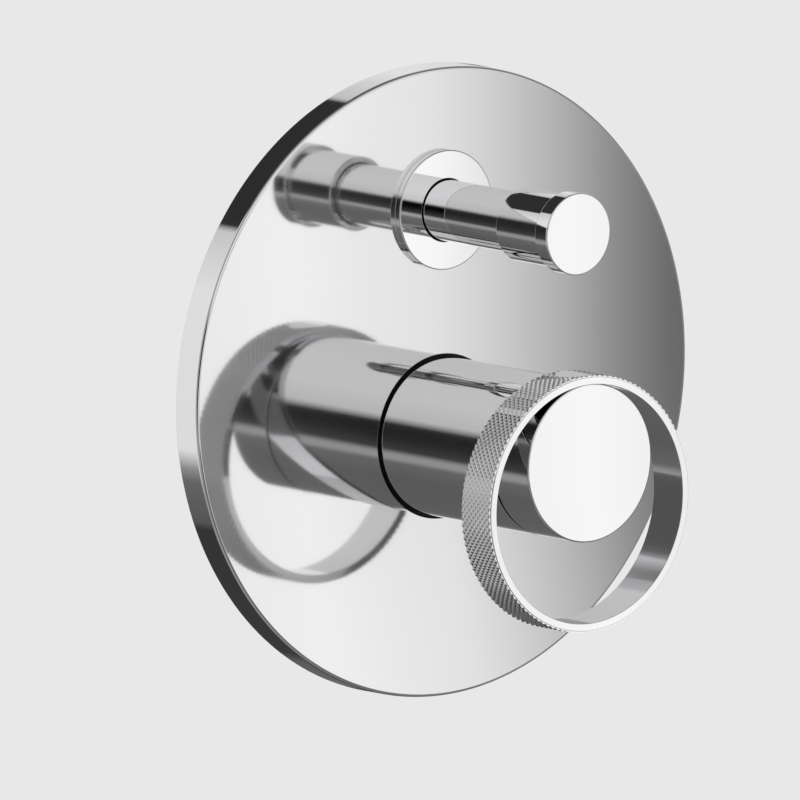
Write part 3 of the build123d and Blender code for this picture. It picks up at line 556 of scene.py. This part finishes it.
def rosette():
    """Thin round flange on the plate round the upper sleeve."""
    corners = [
        (ROSETTE_BORE_R, ROSETTE_FRONT),
        (ROSETTE_R, ROSETTE_FRONT),
        (ROSETTE_R, ROSETTE_BACK),
        (ROSETTE_BORE_R, ROSETTE_BACK),
    ]
    radii = [FINE_EDGE, ROSETTE_EDGE, FINE_EDGE, FINE_EDGE]
    node, body = "diverter_rosette", "wall_part"
    return turned_piece("rosette_chrome_painted_lighter", node, body, DIVERTER_Z, corners, radii, chrome=rosette_chrome_painted_lighter)


def diverter_tube():
    """Slim tube that the knob slides on."""
    inner = DIVERTER_R - DIVERTER_WALL
    corners = [
        (inner, DIVERTER_FRONT),
        (DIVERTER_R, DIVERTER_FRONT),
        (DIVERTER_R, DIVERTER_BACK),
        (inner, DIVERTER_BACK),
    ]
    radii = [FINE_EDGE, KNOB_EDGE, FINE_EDGE, FINE_EDGE]
    return turned_piece("diverter_tube_chrome", "diverter_sleeve", "wall_part", DIVERTER_Z, corners, radii)


def knob():
    """Knob with its skirt, the bore for the rod and the spigot that carries the cap."""
    corners = [
        (0, SPIGOT_FRONT),
        (SPIGOT_R, SPIGOT_FRONT),
        (SPIGOT_R, CAP_BACK),
        (SKIRT_R, CAP_BACK),
        (SKIRT_R, SKIRT_BACK),
        (SKIRT_BORE_R, SKIRT_BACK),
        (SKIRT_BORE_R, KNOB_FLOOR),
        (ROD_BORE_R, KNOB_FLOOR),
        (ROD_BORE_R, ROD_BORE_END),
        (0, ROD_BORE_END),
    ]
    radii = [0, FINE_EDGE, FINE_EDGE, FINE_EDGE, KNOB_EDGE] + [FINE_EDGE] * 4 + [0]
    return turned_piece("knob_chrome", "knob_body", "knob", DIVERTER_Z, corners, radii, closed=False)


def cap():
    """Wider end disc of the knob."""
    corners = [
        (0, CAP_FRONT),
        (CAP_R, CAP_FRONT),
        (CAP_R, CAP_BACK),
        (SPIGOT_R + PUSH_GAP, CAP_BACK),
        (SPIGOT_R + PUSH_GAP, CAP_RECESS_END),
        (0, CAP_RECESS_END),
    ]
    radii = [0, KNOB_EDGE, KNOB_EDGE, FINE_EDGE, FINE_EDGE, 0]
    return turned_piece("knob_cap_chrome", "knob_cap", "knob", DIVERTER_Z, corners, radii, closed=False)


def drill(piece, screw, axis_z):
    """Bores a grub screw's hole into a turned piece, from its axis down and out through its side."""
    low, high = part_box(screw)
    reach_down = HUB_R + RING_R
    place = Matrix.Translation((0, (low.y + high.y) / 2, axis_z - reach_down / 2))
    radius = (high.y - low.y) / 2 + PUSH_GAP
    work = bmesh.new()
    bmesh.ops.create_cone(
        work,
        cap_ends=True,
        segments=DRILL_STEPS,
        radius1=radius,
        radius2=radius,
        depth=reach_down,
        matrix=place,
    )
    mesh = bpy.data.meshes.new("drill")
    work.to_mesh(mesh)
    work.free()
    cutter = bpy.data.objects.new("drill", mesh)
    bpy.context.scene.collection.objects.link(cutter)
    hole = piece.modifiers.new("hole", "BOOLEAN")
    hole.operation, hole.solver, hole.object = "DIFFERENCE", "EXACT", cutter
    bored = bpy.data.meshes.new_from_object(piece.evaluated_get(bpy.context.evaluated_depsgraph_get()))
    piece.modifiers.clear()
    bored.set_sharp_from_angle(angle=SHARP)
    piece.data = bored
    bpy.data.objects.remove(cutter)


for make in (plate, sleeve, ring, rosette, diverter_tube, cap):
    make()
drill(hub(), "handle_grub_screw", MAIN_Z)
drill(knob(), "knob_grub_screw", DIVERTER_Z)


# Camera: parallel view, turned to the left of the plate's axis and a little above it
VIEW_TURN = np.radians(39.7)
VIEW_RISE = np.radians(8.75)
VIEW_WIDTH = 251.6 * MM
VIEW_SHIFT_RIGHT = -13.05 * MM
VIEW_SHIFT_UP = -5.79 * MM
VIEW_DISTANCE = 2.0
VIEW_DEPTH = 20.0


def photograph_view():
    """A parallel camera at the photograph's angle, aimed a little beside the middle of the plate's face."""
    towards = np.array(
        [np.sin(VIEW_TURN) * np.cos(VIEW_RISE), np.cos(VIEW_TURN) * np.cos(VIEW_RISE), -np.sin(VIEW_RISE)]
    )
    right = np.array([np.cos(VIEW_TURN), -np.sin(VIEW_TURN), 0.0])
    up = np.cross(right, towards)
    target = np.array([0, PLATE_FRONT, 0]) + VIEW_SHIFT_RIGHT * right + VIEW_SHIFT_UP * up
    data = bpy.data.cameras.new("photograph_view")
    data.type = "ORTHO"
    data.ortho_scale = VIEW_WIDTH
    data.clip_end = VIEW_DEPTH
    camera = bpy.data.objects.new("photograph_view", data)
    camera.location = target - towards * VIEW_DISTANCE
    camera.rotation_euler = Vector(towards).to_track_quat("-Z", "Y").to_euler()
    bpy.context.scene.collection.objects.link(camera)
    bpy.context.scene.camera = camera
    return towards


# Studio: soft boxes and dark flags stand in two circles round the plate's axis, one in front of the wall
# and one behind it. Each is given by its angle in degrees from the left, upwards, and its grey. Between
# the circles the greys go over x. Their levels follow what the chrome mirrors in the photograph.
FRONT_STUDIO = [
    (-180, "E2E2E2"),
    (-168, "EEEEEE"),
    (-154, "ECECEC"),
    (-143, "888888"),
    (-134, "727272"),
    (-60, "717171"),
    (-38, "7E7E7E"),
    (-31, "B8B8B8"),
    (-25, "B4B4B4"),
    (-18, "434343"),
    (-3, "1E1E1E"),
    (6, "060606"),
    (13, "060606"),
    (18, "262626"),
    (24, "B8B8B8"),
    (29, "EAEAEA"),
    (60, "F7F7F7"),
    (110, "F4F4F4"),
    (180, "E2E2E2"),
]
REAR_STUDIO = [
    (-180, "E3E3E3"),
    (-172, "808080"),
    (-168, "404040"),
    (-158, "404040"),
    (-155, "6E6E6E"),
    (-129, "626262"),
    (-122, "404040"),
    (-59, "3B3B3B"),
    (-56, "606060"),
    (-40, "707070"),
    (-35, "9C9C9C"),
    (-28, "F6F6F6"),
    (30, "F8F8F8"),
    (54, "DCDCDC"),
    (56, "333333"),
    (121, "333333"),
    (123, "D2D2D2"),
    (150, "F4F4F4"),
    (180, "E3E3E3"),
]
SIDE_STUDIO = [(-1.0, "AEAEAE"), (-0.2, "969696"), (0.35, "787878"), (1.0, "8C8C8C")]

# The y of a direction of length 1 where the front circle ends, the sides start and end, and the rear starts
FRONT_END, SIDE_START, SIDE_END, REAR_START = -0.70, -0.60, 0.10, 0.35
BACKDROP = "E8E8E8"
EVEN_LIGHT = 1.25


def grade(ramp, lights):
    """Puts the greys on a ramp whose ends stand for the first and the last place."""
    stops = ramp.color_ramp.elements
    first, last = lights[0][0], lights[-1][0]
    stops[0].color, stops[1].color = linear(lights[0][1]), linear(lights[-1][1])
    for place, grey in lights[1:-1]:
        stops.new((place - first) / (last - first)).color = linear(grey)
    return ramp.outputs["Color"]


def studio():
    """The light round the object, as a function of direction.

    Mirrors see the front circle, the sides and the rear circle, one after the other along y. The camera
    sees a plain backdrop, and matt surfaces get even light.
    """
    world = bpy.data.worlds.new("soft_studio")
    bpy.context.scene.world = world
    tree = empty_tree(world)
    direction = add(tree, "ShaderNodeTexCoord").outputs["Generated"]
    part = add(tree, "ShaderNodeSeparateXYZ", {"Vector": direction})
    left = add(tree, "ShaderNodeMath", {0: part.outputs["X"], 1: -1.0}, operation="MULTIPLY")
    angle = add(tree, "ShaderNodeMath", {0: part.outputs["Z"], 1: left.outputs[0]}, operation="ARCTAN2")
    turn = {"Value": angle.outputs[0], "From Min": -np.pi, "From Max": np.pi}
    turn = add(tree, "ShaderNodeMapRange", turn).outputs["Result"]
    front = grade(add(tree, "ShaderNodeValToRGB", {"Fac": turn}), FRONT_STUDIO)
    rear = grade(add(tree, "ShaderNodeValToRGB", {"Fac": turn}), REAR_STUDIO)
    beside = {"Value": part.outputs["Y"], "From Min": FRONT_END, "From Max": SIDE_START}
    beside = add(tree, "ShaderNodeMapRange", beside).outputs["Result"]
    behind = {"Value": part.outputs["Y"], "From Min": SIDE_END, "From Max": REAR_START}
    behind = add(tree, "ShaderNodeMapRange", behind).outputs["Result"]
    across = add(tree, "ShaderNodeMapRange", {"Value": part.outputs["X"], "From Min": -1.0})
    side = grade(add(tree, "ShaderNodeValToRGB", {"Fac": across.outputs["Result"]}), SIDE_STUDIO)
    front = add(tree, "ShaderNodeMix", {"Factor": beside, "A": front, "B": side}, data_type="RGBA")
    greys = {"Factor": behind, "A": front.outputs["Result"], "B": rear}
    greys = add(tree, "ShaderNodeMix", greys, data_type="RGBA").outputs["Result"]
    ray = add(tree, "ShaderNodeLightPath").outputs
    mirrored = add(tree, "ShaderNodeBackground", {"Color": greys, "Strength": 1.0})
    seen = add(tree, "ShaderNodeBackground", {"Color": linear(BACKDROP), "Strength": 1.0})
    even = add(tree, "ShaderNodeBackground", {"Color": linear(BACKDROP), "Strength": EVEN_LIGHT})
    light = {0: ray["Is Camera Ray"], 1: mirrored.outputs[0], 2: seen.outputs[0]}
    light = add(tree, "ShaderNodeMixShader", light).outputs[0]
    light = {0: ray["Is Diffuse Ray"], 1: light, 2: even.outputs[0]}
    light = add(tree, "ShaderNodeMixShader", light).outputs[0]
    add(tree, "ShaderNodeOutputWorld", {"Surface": light})
    bpy.context.scene.view_settings.view_transform = "Standard"


def flat_sheet(name, across, along, centre, material):
    """A flat rectangle round a centre, from two half sides."""
    centre, across, along = np.array(centre), np.array(across), np.array(along)
    near, far = centre - along, centre + along
    corners = [near - across, near + across, far + across, far - across]
    mesh = bpy.data.meshes.new(name)
    mesh.from_pydata(corners, [], [(0, 1, 2, 3)])
    mesh.materials.append(material)
    sheet = bpy.data.objects.new(name, mesh)
    bpy.context.scene.collection.objects.link(sheet)
    return sheet


# Graded cards: how far off and how large they are, how bright, how much their greys lean to the right for
# each metre below the height where that starts, and the greys at distances in mm from the middle
CARD_DISTANCE = 0.6
CARD_HALF = 150 * MM
CARD_GLOW = 1.23
CARD_LEAN = 0.2
CARD_LEAN_TOP = -10 * MM
FRONT_CARD_STOPS = [(-150, "F4F4F4"), (-60, "EAEAEA"), (0, "CFCFCF"), (60, "A6A6A6"), (150, "707070")]
CARD_STOPS = [
    (-130, "F0F0F0"),
    (-60, "FDFDFD"),
    (-30, "F4F4F4"),
    (-5, "EFEFEF"),
    (15, "DEDEDE"),
    (35, "C7C7C7"),
    (50, "B4B4B4"),
    (70, "8F8F8F"),
    (92, "676767"),
    (130, "4A4A4A"),
]


def gradient_card(name, towards, greys):
    """A large graded reflector that the flat faces mirror, bright on the left and falling off to the right.

    It stands where the plate's face mirrors this direction of view. Low down its greys lean to the right.
    """
    mirrored = towards * (1, -1, 1)
    material = bpy.data.materials.new(name)
    tree = empty_tree(material)
    here = add(tree, "ShaderNodeTexCoord").outputs["Object"]
    centre = np.array([0, PLATE_FRONT, 0]) + mirrored * CARD_DISTANCE
    part = add(tree, "ShaderNodeSeparateXYZ", {"Vector": here})
    top = float(centre[2] + CARD_LEAN_TOP)
    drop = add(tree, "ShaderNodeMath", {0: top, 1: part.outputs["Z"]}, operation="SUBTRACT", use_clamp=True)
    lean = add(tree, "ShaderNodeMath", {0: drop.outputs[0], 1: CARD_LEAN}, operation="MULTIPLY").outputs[0]
    across = add(tree, "ShaderNodeMath", {0: part.outputs["X"], 1: lean}, operation="SUBTRACT").outputs[0]
    left, right = centre[0] + greys[0][0] * MM, centre[0] + greys[-1][0] * MM
    place = add(tree, "ShaderNodeMapRange", {"Value": across, "From Min": left, "From Max": right})
    colour = grade(add(tree, "ShaderNodeValToRGB", {"Fac": place.outputs["Result"]}), greys)
    glow = add(tree, "ShaderNodeEmission", {"Color": colour, "Strength": CARD_GLOW})
    add(tree, "ShaderNodeOutputMaterial", {"Surface": glow.outputs[0]})
    card = flat_sheet(name, (CARD_HALF, 0, 0), (0, 0, CARD_HALF), centre, material)
    card.visible_camera = False
    card.visible_diffuse = False
    card.visible_shadow = False


FLOOR_DROP = 0.6
FLOOR_HALF = 1.8
FLOOR_PATCH = 40 * MM


def floor():
    """Plain pale floor below the object: flat paint, with faint clouds from the roller."""
    material, tree, shader, here = new_material("pale_painted_floor")
    clouds = add(tree, "ShaderNodeTexNoise", {"Vector": here, "Scale": 1 / FLOOR_PATCH, "Detail": 2.0})
    tone = {"Factor": clouds.outputs["Fac"], "A": linear("E6E6E6"), "B": linear("EAEAEA")}
    tone = add(tree, "ShaderNodeMix", tone, data_type="RGBA")
    tree.links.new(tone.outputs["Result"], shader.inputs["Base Color"])
    shader.inputs["Roughness"].default_value = 0.9
    sheet = flat_sheet("floor", (FLOOR_HALF, 0, 0), (0, FLOOR_HALF, 0), (0, 0, -FLOOR_DROP), material)
    sheet.visible_glossy = False


view_direction = photograph_view()
studio()
gradient_card("card_beside_camera", view_direction, CARD_STOPS)
gradient_card("card_in_front", np.array([0.0, 1.0, 0.0]), FRONT_CARD_STOPS)
floor()
